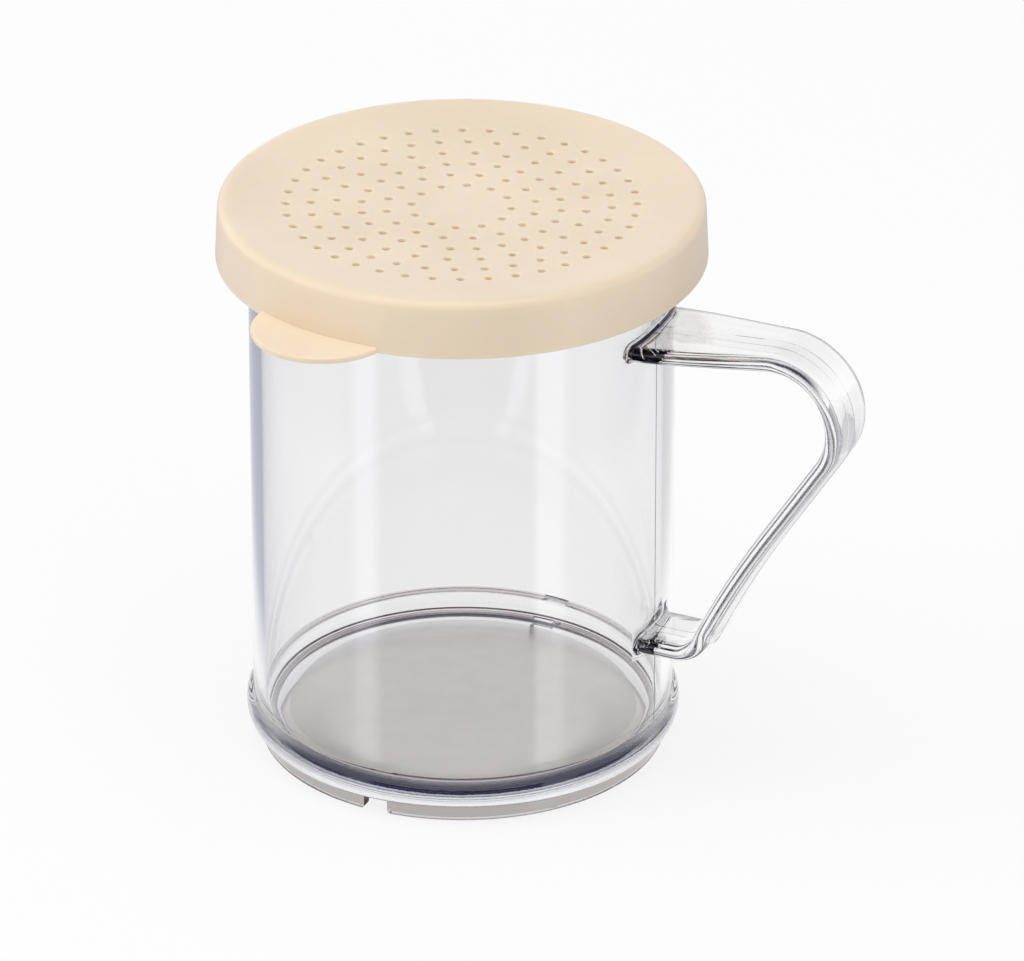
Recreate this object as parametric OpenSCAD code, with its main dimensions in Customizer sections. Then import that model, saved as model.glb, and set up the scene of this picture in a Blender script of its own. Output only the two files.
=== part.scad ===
// Spice shaker: a clear moulded cup with a strap handle, and a snap-fit lid with a field of small holes.
// The cup stands on Z = 0 with its axis on Z, and the handle points along +X.
// All sizes are in millimetres.

/* [Cup] */
// Outside diameter of the cup's wall
cup_d = 68.4; // [60:0.2:90]
// Height of the rim above the table
cup_h = 93; // [80:0.5:140]
// Thickness of the cup's wall
wall_t = 1.9; // [1.4:0.1:2.6]
// Thickness of the floor
floor_t = 2; // [1.6:0.1:4]
// Radius of the corner between floor and wall, inside
floor_fillet_r = 2.4; // [1:0.1:6]

/* [Foot and base band] */
// Height of the foot ring, from the table to the underside of the band
foot_h = 3.2; // [3.2:0.1:8]
// How far the foot ring is set in from the wall's outside
foot_inset = 1.2; // [0.8:0.1:3]
// Thickness of the foot ring
foot_t = 1.9; // [1.7:0.1:3]
// Radius on the lower edges of the foot ring
foot_edge_r = 0.7; // [0.2:0.05:0.8]
// Height of the recess under the floor
recess_h = 3.7; // [3.2:0.1:6]
// Width of a drain notch in the foot ring
notch_w = 4.1; // [2:0.1:8]
// Height of a drain notch
notch_h = 3; // [1.6:0.1:3.1]
// Radius on the lower corners beside a drain notch
notch_corner_r = 1; // [0.3:0.1:1.6]
// Height of the base band
band_h = 5.4; // [3:0.1:8]
// How far the base band's crown stands out from the wall
band_out = 1.1; // [0.6:0.1:1.5]

/* [Rim] */
// How far the rim flange stands out from the wall
rim_out = 3; // [2:0.1:4]
// Thickness of the rim flange
rim_t = 2.2; // [1.6:0.1:3]
// Radius on the outer edges of the rim flange
rim_edge_r = 0.7; // [0.3:0.1:0.75]

/* [Handle] */
// How far the handle stands out from the cup's wall
handle_reach = 34; // [28:0.5:45]
// Distance from the rim down to the middle of the upper bar, at the wall
handle_drop = 15.1; // [12:0.1:20]
// Distance from the base band up to the middle of the lower bar
handle_foot_gap = 16.1; // [8:0.1:24]
// Thickness of the strap
strap_t = 2.6; // [2:0.1:3.5]
// How much the strap's outer face is crowned
strap_crown = 0.35; // [0.1:0.05:0.8]
// Width of the strap where the upper bar leaves the wall
strap_root_w = 18.2; // [14:0.2:24]
// Width of the strap past the upper bend
strap_w = 12.2; // [8:0.2:14]
// Length along the strap over which it narrows
taper_run = 31; // [20:1:45]
// Radius of the fillet where the strap meets the wall
root_r = 1; // [0.5:0.1:1.5]
// Rise of the upper bar, away from the cup
bar_rise = 4.5; // [0:0.5:8]
// Radius of the upper bend, at the middle of the strap
upper_bend_r = 10.8; // [8:0.1:13]
// Radius of the lower bend, at the middle of the strap
lower_bend_r = 4.8; // [4:0.1:8]
// Length of the straight lower bar
lower_bar_l = 5.8; // [3:0.1:9]
// Radius of the slow curve below the straight grip
grip_curve_r = 180; // [60:1:240]
// Turn of the slow curve below the straight grip
grip_curve_turn = 8; // [4:0.5:12]

/* [Lid] */
// Thickness of the lid above the rim
seat_t = 2.25; // [1.2:0.05:3]
// Thickness of the perforated plate
plate_t = 1.4; // [1:0.1:2]
// How much lower the plate is in the middle than at its edge
dish_depth = 1.5; // [0.4:0.05:1.8]
// Height of the lid, from the skirt's lower edge to the top
lid_h = 9.6; // [7.5:0.1:14]
// Thickness of the skirt
skirt_t = 1.3; // [1:0.1:2]
// How much wider the skirt's radius is at its lower edge than at its top
skirt_flare = 0.4; // [0:0.05:0.8]
// Radius on the lid's upper edge
lid_edge_r = 1.4; // [0.8:0.1:1.75]
// Free space between the rim and the lid's seat
seat_clearance = 0.01; // [0.01:0.01:0.1]
// Free space between the rim flange and the skirt
skirt_clearance = 0.5; // [0.3:0.05:1]
// Free space between the rim flange and the snap bead
bead_clearance = 0.2; // [0.1:0.05:0.3]
// Radius of the snap bead inside the skirt
bead_r = 0.6; // [0.5:0.05:0.8]
// Direction of the thumb tab about the cup's axis, from the handle
tab_angle = -101; // [-180:1:180]
// Radius of the thumb tab's round end
tab_r = 11.4; // [8:0.2:16]
// How far the thumb tab stands out from the skirt
tab_out = 8.8; // [5:0.1:11]
// Thickness of the thumb tab
tab_t = 1.1; // [0.8:0.1:1.6]
// Radius on the thumb tab's upper and lower edges
tab_edge_r = 0.35; // [0.15:0.05:0.35]

/* [Holes] */
// Diameter of a shaker hole
hole_d = 1.2; // [0.8:0.1:2]
// Distance from one ring of holes to the next
ring_pitch = 4; // [3:0.1:4.3]

/* [Hidden] */
$fn = 96;

// The first ring of holes lies on this many pitches, and each next ring on one more.
FIRST_RING = 2;
// Holes in each ring, from the middle outwards.
RING_COUNTS = [12, 16, 24, 24, 32, 40];
HOLE_FN = 24;
// Distance that a cutting shape runs past the surface it cuts.
PAST = 1;
// The plate's top follows a curve of this power, so that its middle is nearly level.
DISH_POWER = 3.8;
DISH_POINTS = 14;
// Degrees of a bend between two cross-sections of the strap.
BEND_STEP = 6;
// Cross-sections in each straight stretch of the strap, and points round its edge and across its faces.
STRAIGHT_STEPS = 6;
EDGE_STEPS = 6;
FACE_STEPS = 8;
// Cross-sections in the fillet at a root, and the way from its end to the first level cross-section.
ROOT_STEPS = 4;
ROOT_EASE = 0.6;
// The fillet ends this far inside the wall, so that its face crosses the wall's face.
ROOT_SINK = 0.05;

cup_r = cup_d / 2;
cavity_r = cup_r - wall_t;
floor_z = recess_h + floor_t;
foot_r = cup_r - foot_inset;
band_r = cup_r + band_out;
band_top_z = foot_h + band_h;
// The band's face is one arc, which meets the wall at both edges of the band.
band_arc_r = (band_h * band_h / 4 + band_out * band_out) / (2 * band_out);
rim_r = cup_r + rim_out;
rim_under_z = cup_h - rim_t;

seat_z = cup_h + seat_clearance;
lid_top_z = cup_h + seat_t;
skirt_z = lid_top_z - lid_h;
skirt_top_r = rim_r + skirt_clearance + skirt_t;
skirt_bottom_r = skirt_top_r + skirt_flare;
plate_edge_r = skirt_top_r - lid_edge_r;
bead_z = rim_under_z - bead_clearance - bead_r;
tab_centre = skirt_bottom_r + tab_out - tab_r;

// ---- flat helpers: quarter rounds with true arcs ----

// A quarter disc in the first quadrant, to round an outer corner.
module quarter_disc(r) {
    intersection() {
        circle(r);
        square(r);
    }
}

// A block from the axis out to radius r, with its two outer corners rounded.
module round_edged_block(r, z0, z1, top_r, bottom_r) {
    translate([0, z0 + bottom_r])
        square([r, z1 - z0 - top_r - bottom_r]);
    translate([0, z0])
        square([r - bottom_r, bottom_r]);
    translate([0, z1 - top_r])
        square([r - top_r, top_r]);
    translate([r - top_r, z1 - top_r])
        quarter_disc(top_r);
    translate([r - bottom_r, z0 + bottom_r])
        mirror([0, 1])
            quarter_disc(bottom_r);
}

// ---- cup ----

// The outside of the cup from the axis outwards: foot, crowned base band, wall and rim flange.
module cup_outside() {
    round_edged_block(foot_r, 0, foot_h + PAST, foot_edge_r, foot_edge_r);
    intersection() {
        translate([band_r - band_arc_r, foot_h + band_h / 2])
            circle(band_arc_r);
        translate([cup_r - PAST, foot_h])
            square([band_out + 2 * PAST, band_h]);
    }
    translate([0, foot_h])
        square([cup_r, cup_h - foot_h - PAST]);
    round_edged_block(rim_r, rim_under_z, cup_h, rim_edge_r, rim_edge_r);
}

// The inside of the cup, with its rounded lower corner.
module cup_inside() {
    corner_r = cavity_r - floor_fillet_r;
    translate([0, floor_z + floor_fillet_r])
        square([cavity_r, cup_h - floor_z - floor_fillet_r + PAST]);
    translate([0, floor_z])
        square([corner_r, floor_fillet_r + PAST]);
    translate([corner_r, floor_z + floor_fillet_r])
        mirror([0, 1])
            quarter_disc(floor_fillet_r);
}

// The recess under the floor, widened at the table so that the foot ring's inner edge is round.
module foot_recess() {
    inner_r = foot_r - foot_t;
    translate([0, -PAST])
        square([inner_r, recess_h + PAST]);
    difference() {
        translate([0, -PAST])
            square([inner_r + foot_edge_r, foot_edge_r + PAST]);
        translate([inner_r + foot_edge_r, foot_edge_r])
            circle(foot_edge_r);
    }
}

module cup_shell() {
    rotate_extrude()
        difference() {
            cup_outside();
            cup_inside();
            foot_recess();
        }
}

// The two drain notches, cut along Y through both sides of the foot ring.
module drain_notches() {
    rotate([90, 0, 0])
        linear_extrude(2 * (foot_r + PAST), center = true) {
            translate([-notch_w / 2, -PAST])
                square([notch_w, notch_h + PAST]);
            for (side = [-1, 1])
                translate([side * (notch_w / 2 + notch_corner_r), 0])
                    difference() {
                        translate([-notch_corner_r, -PAST])
                            square([2 * notch_corner_r, notch_corner_r + PAST]);
                        translate([0, notch_corner_r])
                            circle(notch_corner_r);
                        translate([side > 0 ? 0 : -notch_corner_r, -PAST])
                            square([notch_corner_r, notch_corner_r + PAST]);
                    }
        }
}

// ---- handle ----
// The strap follows a line in the XZ plane: up the rising upper bar, round the upper bend, down the
// straight grip, through a slow reverse curve, round the lower bend and back along the lower bar.
// A heading is the angle of travel from +X, and the strap's outer face is on the left of travel.

function along(heading) = [cos(heading), sin(heading)];
function outward(heading) = [-sin(heading), cos(heading)];

// Both ends of the strap are sunk into the wall, to the middle of its thickness.
root_x = cup_r - wall_t / 2;
upper_root = [root_x, cup_h - handle_drop];
lower_z = band_top_z + handle_foot_gap;

upper_bend_x = cup_r + handle_reach - strap_t / 2 - upper_bend_r;
upper_bend = [
    upper_bend_x,
    upper_root[1] + (upper_bend_x - root_x) * tan(bar_rise) - upper_bend_r / cos(bar_rise)
];
lower_bend = [cup_r + lower_bar_l, lower_z + lower_bend_r];

// The grip touches both bends. Measured along and across the straight grip, the way from one
// centre to the other is known across, so the rest follows from its length.
between = lower_bend - upper_bend;
curve_r = grip_curve_r + lower_bend_r;
across = upper_bend_r + grip_curve_r - curve_r * cos(grip_curve_turn);
lengthwise = sqrt(between * between - across * across);
grip_heading = atan2(between[1], between[0]) - atan2(across, lengthwise);
curve_heading = grip_heading + grip_curve_turn;
grip_l = lengthwise - curve_r * sin(grip_curve_turn);
grip_start = upper_bend + upper_bend_r * outward(grip_heading);
grip_curve = grip_start + grip_l * along(grip_heading) + grip_curve_r * outward(grip_heading);
bar_l = norm(upper_bend + upper_bend_r * outward(bar_rise) - upper_root);

// Stations are [point, heading, distance from the upper root].
function straight(start, heading, len, from) = [
    for (i = [0 : STRAIGHT_STEPS - 1])
        let (s = len * i / STRAIGHT_STEPS)
            [start + s * along(heading), heading, from + s]
];

// A bend about a centre. side is 1 where the centre is on the inner side of the strap, else -1.
function bend(centre, r, side, h0, h1, from) = [
    let (steps = ceil(abs(h1 - h0) / BEND_STEP))
        for (i = [0 : steps - 1])
            let (h = h0 + (h1 - h0) * i / steps)
                [centre + side * r * outward(h), h, from + r * abs(h - h0) * PI / 180]
];

upper_bend_end = bar_l + upper_bend_r * (bar_rise - grip_heading) * PI / 180;
grip_end = upper_bend_end + grip_l;
curve_end = grip_end + grip_curve_r * grip_curve_turn * PI / 180;
lower_bend_end = curve_end + lower_bend_r * (curve_heading + 180) * PI / 180;
lower_bar_start = [lower_bend[0], lower_z];

// The first and last level cross-sections stand clear of the roots' fillets.
level_x = cup_r + root_r + ROOT_EASE;
level_run = (level_x - root_x) / cos(bar_rise);
level_start = upper_root + level_run * along(bar_rise);
lower_run = lower_bend_end + lower_bar_start[0] - root_x;

stations = concat(
    straight(level_start, bar_rise, bar_l - level_run, level_run),
    bend(upper_bend, upper_bend_r, 1, bar_rise, grip_heading, bar_l),
    straight(grip_start, grip_heading, grip_l, upper_bend_end),
    bend(grip_curve, grip_curve_r, -1, grip_heading, curve_heading, grip_end),
    bend(lower_bend, lower_bend_r, 1, curve_heading, -180, curve_end),
    [
        [lower_bar_start, -180, lower_bend_end],
        [[level_x, lower_z], -180, lower_bend_end + lower_bar_start[0] - level_x]
    ]
);

// Half the strap's width at a distance from the upper root: it narrows along half a wave.
function half_width(s) =
    strap_w / 2 + (strap_root_w - strap_w) / 4 * (1 + cos(180 * min(s / taper_run, 1)));

// The cross-section as [across, outward] points: round edges, a flat inner face and a crowned outer one,
// with all of it grown outwards by a fillet's spread.
function section(w, spread = 0) =
    let (edge_r = strap_t / 2 + spread, flat = w - strap_t / 2)
        concat(
            [
                for (i = [0 : EDGE_STEPS])
                    let (a = -90 + 180 * i / EDGE_STEPS)
                        [flat + edge_r * cos(a), edge_r * sin(a)]
            ],
            [
                for (i = [1 : FACE_STEPS - 1])
                    let (y = 1 - 2 * i / FACE_STEPS)
                        [flat * y, edge_r + strap_crown * (1 - y * y)]
            ],
            [
                for (i = [0 : EDGE_STEPS])
                    let (a = 90 + 180 * i / EDGE_STEPS)
                        [-flat + edge_r * cos(a), edge_r * sin(a)]
            ],
            [
                for (i = [1 : FACE_STEPS - 1])
                    [flat * (2 * i / FACE_STEPS - 1), -edge_r]
            ]
        );

SECTION_POINTS = 2 * (EDGE_STEPS + FACE_STEPS);

// A level ring of points round the strap at a station.
function level_ring(st) = [
    for (q = section(half_width(st[2])))
        let (p = st[0] + q[1] * outward(st[1]))
            [p[0], q[0], p[1]]
];

// A ring of points at a root that follows a round wall of radius r, at a gap from it.
function wall_ring(root, heading, w, r, gap, spread) = [
    for (q = section(w, spread))
        let (
            start = root + q[1] * outward(heading),
            x = sqrt(r * r - q[0] * q[0]) + gap,
            p = start + (x - start[0]) / cos(heading) * along(heading)
        )
            [p[0], q[0], p[1]]
];

// The rings of a root, from inside the wall out to the end of the fillet.
function root_rings(root, heading, w) = concat(
    [wall_ring(root, heading, w, cup_r - wall_t / 2, 0, root_r)],
    [
        for (i = [0 : ROOT_STEPS])
            let (a = 90 * i / ROOT_STEPS, gap = i > 0 ? root_r * (1 - cos(a)) : -ROOT_SINK)
                wall_ring(root, heading, w, cup_r, gap, root_r * (1 - sin(a)))
    ]
);

// An end of the strap as upright strips, each between two points of the ring on one side of its middle
// height and the two across from them, so that every strip is flat.
function end_faces() =
    let (
        tip = EDGE_STEPS / 2,
        other_tip = tip + SECTION_POINTS / 2,
        under = [for (i = [1 : SECTION_POINTS / 2 - 1]) (tip - i + SECTION_POINTS) % SECTION_POINTS],
        over = [for (i = [1 : SECTION_POINTS / 2 - 1]) tip + i],
        strips = len(over) - 1
    )
        concat(
            [[under[0], tip, over[0]]],
            [for (i = [0 : strips - 1]) [under[i + 1], under[i], over[i], over[i + 1]]],
            [[over[strips], other_tip, under[strips]]]
        );

module handle() {
    lower_root = [root_x, lower_z];
    lower_end = root_rings(lower_root, -180, half_width(lower_run));
    rings = concat(
        root_rings(upper_root, bar_rise, half_width(0)),
        [for (st = stations) level_ring(st)],
        [for (i = [len(lower_end) - 1 : -1 : 0]) lower_end[i]]
    );
    points = [for (ring = rings) each ring];
    last = (len(rings) - 1) * SECTION_POINTS;
    sides = [
        for (a = [0 : SECTION_POINTS : last - 1])
            for (j = [0 : SECTION_POINTS - 1])
                let (k = (j + 1) % SECTION_POINTS, b = a + SECTION_POINTS)
                    each [[a + j, b + k, a + k], [a + j, b + j, b + k]]
    ];
    ends = end_faces();
    turned = [for (f = ends) [for (i = [len(f) - 1 : -1 : 0]) last + f[i]]];
    polyhedron(points, concat(ends, sides, turned), convexity = 6);
}

// The cup and its handle are one moulding.
module mug() {
    color([0.86, 0.88, 0.90, 0.45])
        difference() {
            union() {
                cup_shell();
                handle();
            }
            drain_notches();
        }
}

// ---- lid ----

// Height of the plate's top at a distance r from the axis.
function plate_z(r) = lid_top_z - dish_depth * (1 - pow(r / plate_edge_r, DISH_POWER));

// The lid from the axis outwards: the dished plate over a level seat, the rounded edge, the flared
// skirt and the snap bead inside it.
module lid_profile() {
    seat_r = cavity_r;
    top = [for (i = [0 : DISH_POINTS]) let (r = plate_edge_r * i / DISH_POINTS) [r, plate_z(r)]];
    under = [
        for (i = [DISH_POINTS : -1 : 0])
            let (r = seat_r * i / DISH_POINTS)
                [r, min(plate_z(r) - plate_t, seat_z)]
    ];
    polygon(concat(top, [[plate_edge_r, seat_z], [seat_r, seat_z]], under));
    translate([plate_edge_r, lid_top_z - lid_edge_r])
        quarter_disc(lid_edge_r);
    polygon([
        [plate_edge_r - PAST, seat_z],
        [plate_edge_r - PAST, lid_top_z - lid_edge_r],
        [skirt_top_r, lid_top_z - lid_edge_r],
        [skirt_bottom_r, skirt_z],
        [skirt_bottom_r - skirt_t, skirt_z],
        [skirt_top_r - skirt_t, seat_z]
    ]);
    translate([rim_r + bead_clearance + bead_r, bead_z])
        circle(bead_r);
}

// The thumb tab, a round-edged disc level with the skirt's lower edge and cut away inside the skirt.
module thumb_tab() {
    translate([0, 0, skirt_z])
        difference() {
            translate([tab_centre, 0, 0])
                rotate_extrude()
                    round_edged_block(tab_r, 0, tab_t, tab_edge_r, tab_edge_r);
            translate([0, 0, -PAST])
                cylinder(r = skirt_bottom_r - skirt_t / 2, h = tab_t + 2 * PAST);
        }
}

// Every ring has a hole in line with the thumb tab.
module shaker_holes() {
    for (ring = [0 : len(RING_COUNTS) - 1])
        for (i = [0 : RING_COUNTS[ring] - 1])
            rotate([0, 0, 360 * i / RING_COUNTS[ring]])
                translate([(ring + FIRST_RING) * ring_pitch, 0, cup_h - dish_depth - plate_t - PAST])
                    cylinder(d = hole_d, h = seat_t + dish_depth + plate_t + 2 * PAST, $fn = HOLE_FN);
}

module lid() {
    color([0.93, 0.86, 0.77])
        rotate([0, 0, tab_angle])
            difference() {
                union() {
                    rotate_extrude()
                        lid_profile();
                    thumb_tab();
                }
                shaker_holes();
            }
}

mug();
lid();
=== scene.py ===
"""Looks of the spice shaker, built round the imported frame.

The clear mug and the beige lid are modelled here as smooth closed shells that stand in for their CAD nodes,
in the same place and at the same size. Lengths are in metres, and MM turns millimetres into metres.
"""

import math

import bmesh
import bpy
from mathutils import Matrix, Vector


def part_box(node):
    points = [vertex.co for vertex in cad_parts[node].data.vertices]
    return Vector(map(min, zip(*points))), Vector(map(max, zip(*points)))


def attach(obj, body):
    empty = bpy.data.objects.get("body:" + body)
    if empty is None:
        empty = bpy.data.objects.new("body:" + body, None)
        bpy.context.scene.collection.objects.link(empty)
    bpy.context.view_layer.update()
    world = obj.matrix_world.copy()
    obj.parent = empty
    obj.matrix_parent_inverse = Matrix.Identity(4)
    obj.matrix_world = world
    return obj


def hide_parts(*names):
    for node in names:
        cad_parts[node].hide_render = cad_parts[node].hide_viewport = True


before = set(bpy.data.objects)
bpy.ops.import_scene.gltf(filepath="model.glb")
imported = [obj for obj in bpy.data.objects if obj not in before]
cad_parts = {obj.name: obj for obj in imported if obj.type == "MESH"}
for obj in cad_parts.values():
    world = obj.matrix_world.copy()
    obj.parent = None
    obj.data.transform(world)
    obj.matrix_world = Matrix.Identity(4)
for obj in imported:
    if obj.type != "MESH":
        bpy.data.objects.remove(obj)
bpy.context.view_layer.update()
_, mug_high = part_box("mug")
lid_low, lid_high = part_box("lid")

MM = 0.001

# ---- sizes of the cup ----
CUP_R = 34.2 * MM
WALL = 1.9 * MM
CAVITY_R = CUP_R - WALL
CUP_TOP = mug_high.z
FLOOR_TOP = 5.7 * MM
FLOOR_UNDER = 3.7 * MM
FLOOR_ROUND = 2.4 * MM
SATIN_R = 28.4 * MM
FOOT_R = 33.0 * MM
FOOT_WALL = 1.9 * MM
FOOT_EDGE = 0.7 * MM
FOOT_ROOT_ROUND = 0.4 * MM
BAND_LOW = 3.2 * MM
BAND_HIGH = 8.6 * MM
BAND_OUT = 1.1 * MM
BAND_POINTS = 10
BAND_ROOT_ROUND = 0.3 * MM
RIM_R = 37.2 * MM
RIM_THICK = 2.2 * MM
RIM_ROUND = 0.7 * MM
RIM_ROOT_ROUND = 0.5 * MM
MOUTH_ROUND = 0.4 * MM
NOTCH_W = 4.1 * MM
NOTCH_H = 3.0 * MM
NOTCH_ROUND = 1.0 * MM
NOTCH_TOP_ROUND = 0.3 * MM

# ---- sizes of the handle ----
ROOT_X = CUP_R - WALL / 2
REACH = mug_high.x
STRAP_T = 2.6 * MM
STRAP_CROWN = 0.3 * MM
# the crown is drawn through points at these shares of the way from the middle to the round edge
CROWN_SHARES = (0.9, 0.75, 0.55, 0.35, 0.18)
STRAP_W = 12.2 * MM
STRAP_ROOT_W = 18.2 * MM
TAPER_RUN = 31 * MM
UPPER_BAR_Z = 77.9 * MM
UPPER_RISE = math.radians(4.5)
UPPER_BEND_R = 10.8 * MM
LOWER_BAR_Z = 24.7 * MM
LOWER_BAR_L = 5.8 * MM
LOWER_BEND_R = 4.8 * MM
GRIP_CURVE_R = 180 * MM
GRIP_CURVE_TURN = math.radians(8)
ROOT_R = 1.0 * MM
ROOT_STEPS = 5
LEVEL_X = CUP_R + 1.6 * MM
EMBEDDED_X = CUP_R - 1.7 * MM
UNDER_SKIN = 0.03 * MM
PARTING_W = 0.18 * MM
PARTING_H = 0.05 * MM
PARTING_SINK = 0.02 * MM
PARTING_ROOT = 0.5 * MM

# ---- sizes of the lid ----
LID_TOP = lid_high.z
LID_LOW = lid_low.z
PLATE_T = 1.4 * MM
# the dished faces are drawn through points at these radii, in millimetres
PLATE_TOP_RADII = (0, 6, 11, 15, 18, 21, 24, 26.5, 29, 31, 33, 34.8, 36.4)
PLATE_UNDER_RADII = (29, 26, 22, 18, 14, 9, 0)
PLATE_EDGE_R = 37.6 * MM
DISH = 1.5 * MM
DISH_POWER = 3.8
EDGE_ROUND = 1.4 * MM
SKIRT_T = 1.3 * MM
SKIRT_EDGE = 0.25 * MM
SKIRT_TOP_R = 38.932 * MM
SKIRT_LOW_R = 39.4 * MM
BEAD_REACH = 37.4 * MM
BEAD_Z = 90.0 * MM
BEAD_FOOT = 0.7 * MM
BEAD_CREST = 0.25 * MM
BEAD_ROUND = 0.2 * MM
SEAT_ROUND = 0.4 * MM
TAB_ANGLE = math.radians(-101)
TAB_R = 11.39 * MM
TAB_CENTRE = 36.8 * MM
TAB_T = 1.1 * MM
TAB_ROUND = 0.35 * MM
TAB_CUTTER_H = 6 * MM
HOLE_R = 0.6 * MM
HOLE_LIP = 0.32 * MM
LIP_TURNS = (0, math.radians(35), math.radians(65))
LIP_TOP = 0.1 * MM
HOLE_CUTTER_LOW = -3 * MM
HOLE_CUTTER_TOP = 1 * MM
RING_PITCH = 4.0 * MM
FIRST_RING = 2
RING_COUNTS = (12, 16, 24, 24, 32, 40)

# ---- fineness ----
TURN_STEPS = 240
ARC_SEGMENTS = 6
TAB_SIDES = 160
TAB_SEGMENTS = 5
HOLE_SIDES = 16
LONG_EDGE = 20 * MM
WALL_CUTS = 23
STRAIGHT_STEP = 2.5 * MM
BEND_STEP = math.radians(4)
SMOOTH_LIMIT = math.radians(24)
SAME_PLACE = 1e-7
SAME_LEVEL = 0.01 * MM
SEAT_GAP = 0.02 * MM
CUTTER_SPARE = 2 * MM
# share of a full round, so that two neighbouring rounds stay apart
STRAP_ROUNDING = 0.98
NOTCH_ROUNDING = 0.96

# ---- finishes ----
WHITE = (1, 1, 1, 1)
CLEAR_TINT = (0.972, 0.972, 0.974, 1)
PLASTIC_IOR = 1.58
SATIN_TINTS = ((0.86, 0.84, 0.83, 1), (0.80, 0.78, 0.77, 1))
SATIN_FACING = (0.25, 0.4)
SATIN_ROUGHNESS = (0.25, 0.02)
LID_TINTS = ((0.86, 0.73, 0.565, 1), (0.82, 0.69, 0.53, 1))
LID_ROUGHNESS = (0.3, 0.38)
PATCH_EDGE = (0.35, 0.65)
# places of the share, the two colours and the result on a Mix node that mixes colours
COLOUR_MIX_INPUTS = (0, 6, 7)
COLOUR_MIX_RESULT = 2

# ---- the studio ----
FLOOR_SIZE = 8
FLOOR_DROP = 0.05 * MM
FLOOR_COLOUR = (0.9, 0.9, 0.9, 1)
CAMERA_WHITE = 0.85
SOFT_LIGHT = 0.55
LAMP_AIM = (0, 0, 0.05)
REFLECTION_CENTRE = 19 * MM
# painted reflection on the floor for gloss, by degrees from the camera's side: painted shade towards the
# camera, two painted highlight strips, paler at the sides; negative angles lie to the camera's left
PAINTED_FRONT_TONES = (
    (-180, (0.55, 0.55, 0.62, 0)),
    (-125, (0.50, 0.50, 0.56, 0)),
    (-105, (0.50, 0.50, 0.54, 1)),
    (-64, (0.34, 0.34, 0.38, 1)),
    (-58, (0.90, 0.90, 1.00, 1)),
    (-51, (0.90, 0.90, 1.00, 1)),
    (-45, (0.04, 0.04, 0.06, 1)),
    (40, (0.04, 0.04, 0.06, 1)),
    (43, (1.00, 1.00, 1.05, 1)),
    (55, (1.00, 1.00, 1.05, 1)),
    (61, (0.38, 0.38, 0.39, 1)),
    (105, (0.46, 0.46, 0.47, 1)),
    (125, (0.64, 0.64, 0.65, 0)),
    (180, (0.64, 0.64, 0.65, 0)),
)
# painted shade on the floor behind, for gloss, by millimetres across the view: darker to the left and grey to
# the right; negative ones lie to the camera's left
BACKDROP_SPAN = 300 * MM
PAINTED_BACKDROP_TONES = (
    (-110, (0.45, 0.45, 0.52, 1)),
    (-62, (0.52, 0.52, 0.60, 1)),
    (-42, WHITE),
    (50, WHITE),
    (75, (0.72, 0.72, 0.73, 1)),
    (110, (0.66, 0.66, 0.68, 1)),
)
# by height: 0 is level, and 1 is straight up
CEILING_TONES = ((0.22, WHITE), (0.75, (0.03, 0.03, 0.07, 1)))
# painted shade of the foot on the floor, as the plastic shows it, by millimetres from the axis, with near
# tones on the camera's side that change to far ones past the axis
CONTACT_REACH = 50 * MM
CONTACT_TURN = 14 * MM
NEAR_CONTACT_SHADE = (
    (0, (0.76, 0.72, 0.69, 1)),
    (20, (0.74, 0.70, 0.66, 1)),
    (24, (0.46, 0.43, 0.40, 1)),
    (30.3, (0.42, 0.39, 0.37, 1)),
    (31.3, (0.12, 0.10, 0.13, 1)),
    (32.8, (0.12, 0.10, 0.13, 1)),
    (33.6, (0.80, 0.80, 0.84, 1)),
    (44, (1, 1, 1, 0)),
)
FAR_CONTACT_SHADE = (
    (0, (0.76, 0.72, 0.69, 1)),
    (30.3, (0.80, 0.77, 0.74, 1)),
    (31.3, (0.45, 0.41, 0.40, 1)),
    (32.8, (0.45, 0.41, 0.40, 1)),
    (33.6, (0.86, 0.86, 0.88, 1)),
    (44, (1, 1, 1, 0)),
)
# by how often a ray has been reflected or bent, up to the most that Cycles is to follow
BOUNCES = 48
# painted shade: the studio seen after many reflections and bends in the plastic turns grey, then dark blue
BOUNCE_SHADE_TONES = (
    (0, WHITE),
    (8, WHITE),
    (12, (0.86, 0.87, 0.90, 1)),
    (15, (0.80, 0.81, 0.85, 1)),
    (18, (0.03, 0.035, 0.09, 1)),
    (BOUNCES, (0.02, 0.025, 0.07, 1)),
)

# ---- the view ----
PICTURE_WIDTH = 1024
FOCAL_PIXELS = 9661
SENSOR_WIDTH = 36
VIEW_AZIMUTH = math.radians(25.1)
VIEW_ELEVATION = math.radians(26.77)
VIEW_DISTANCE = 1538.5 * MM
VIEW_HEIGHT = 94.17 * MM
VIEW_RIGHT = 7.995 * MM
VIEW_UP = -44.15 * MM
VIEW_NEAREST = 0.05
VIEW_FARTHEST = 20


# ---------------------------------------------------------------- modelling tools


def make_active(piece):
    bpy.ops.object.select_all(action="DESELECT")
    piece.select_set(True)
    bpy.context.view_layer.objects.active = piece


def start_editing(piece):
    """Opens one piece in edit mode with nothing selected."""
    make_active(piece)
    bpy.ops.object.mode_set(mode="EDIT")
    bpy.ops.mesh.select_mode(type="VERT")
    bpy.ops.mesh.select_all(action="DESELECT")


def stop_editing():
    bpy.ops.object.mode_set(mode="OBJECT")


def pick_points(piece, wanted):
    """In edit mode, selects the points whose place passes the test, and what lies between them."""
    bpy.ops.mesh.select_mode(type="VERT")
    bpy.ops.mesh.select_all(action="DESELECT")
    mesh = bmesh.from_edit_mesh(piece.data)
    for point in mesh.verts:
        point.select_set(bool(wanted(point.co)))
    mesh.select_flush(True)
    bmesh.update_edit_mesh(piece.data)


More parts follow.
